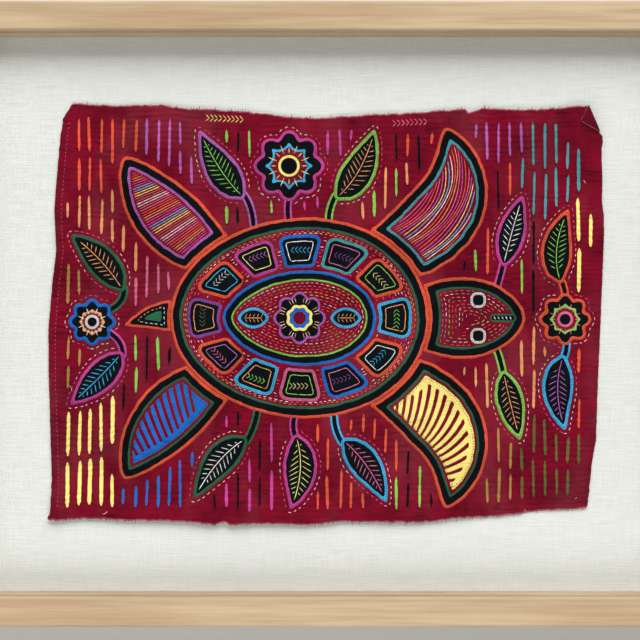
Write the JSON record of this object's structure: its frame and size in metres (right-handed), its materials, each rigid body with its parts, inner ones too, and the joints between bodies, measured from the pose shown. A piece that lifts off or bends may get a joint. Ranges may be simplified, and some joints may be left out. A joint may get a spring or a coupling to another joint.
{
  "type": "mola panel in a glazed wooden frame",
  "caption": "Rectangular appliqué cotton panel, slightly rippled and with a turned-over corner, on a linen-covered board behind clear glass in a plain mitred wooden frame.",
  "frame": {"origin": "centre of the frame's outline, at its back face", "axes": "+X to the panel's right, +Y towards its top edge, +Z out of its face"},
  "size_m": [0.564, 0.464, 0.03],
  "materials": {
    "wood": "satin",
    "board": "matte",
    "linen": "matte",
    "glass": "gloss",
    "red_cotton": "matte",
    "black_cotton": "matte"
  },
  "bodies": {
    "root": {"rail_bottom": "wood", "rail_right": "wood", "rail_top": "wood", "rail_left": "wood", "backing_board": "board", "linen_mount": "linen", "glass_pane": "glass", "mola_cloth": "red_cotton", "turtle_shell": "black_cotton", "turtle_head": "black_cotton", "front_flipper_upper": "black_cotton", "front_flipper_lower": "black_cotton", "rear_flipper_upper": "black_cotton", "rear_flipper_lower": "black_cotton", "tail": "black_cotton", "leaf_1": "black_cotton", "leaf_2": "black_cotton", "leaf_3": "black_cotton", "leaf_4": "black_cotton", "leaf_5": "black_cotton", "leaf_6": "black_cotton", "leaf_7": "black_cotton", "leaf_8": "black_cotton", "leaf_9": "black_cotton", "leaf_10": "black_cotton", "leaf_11": "black_cotton", "flower_1": "black_cotton", "flower_2": "black_cotton", "flower_3": "black_cotton"}
  },
  "joints": []
}
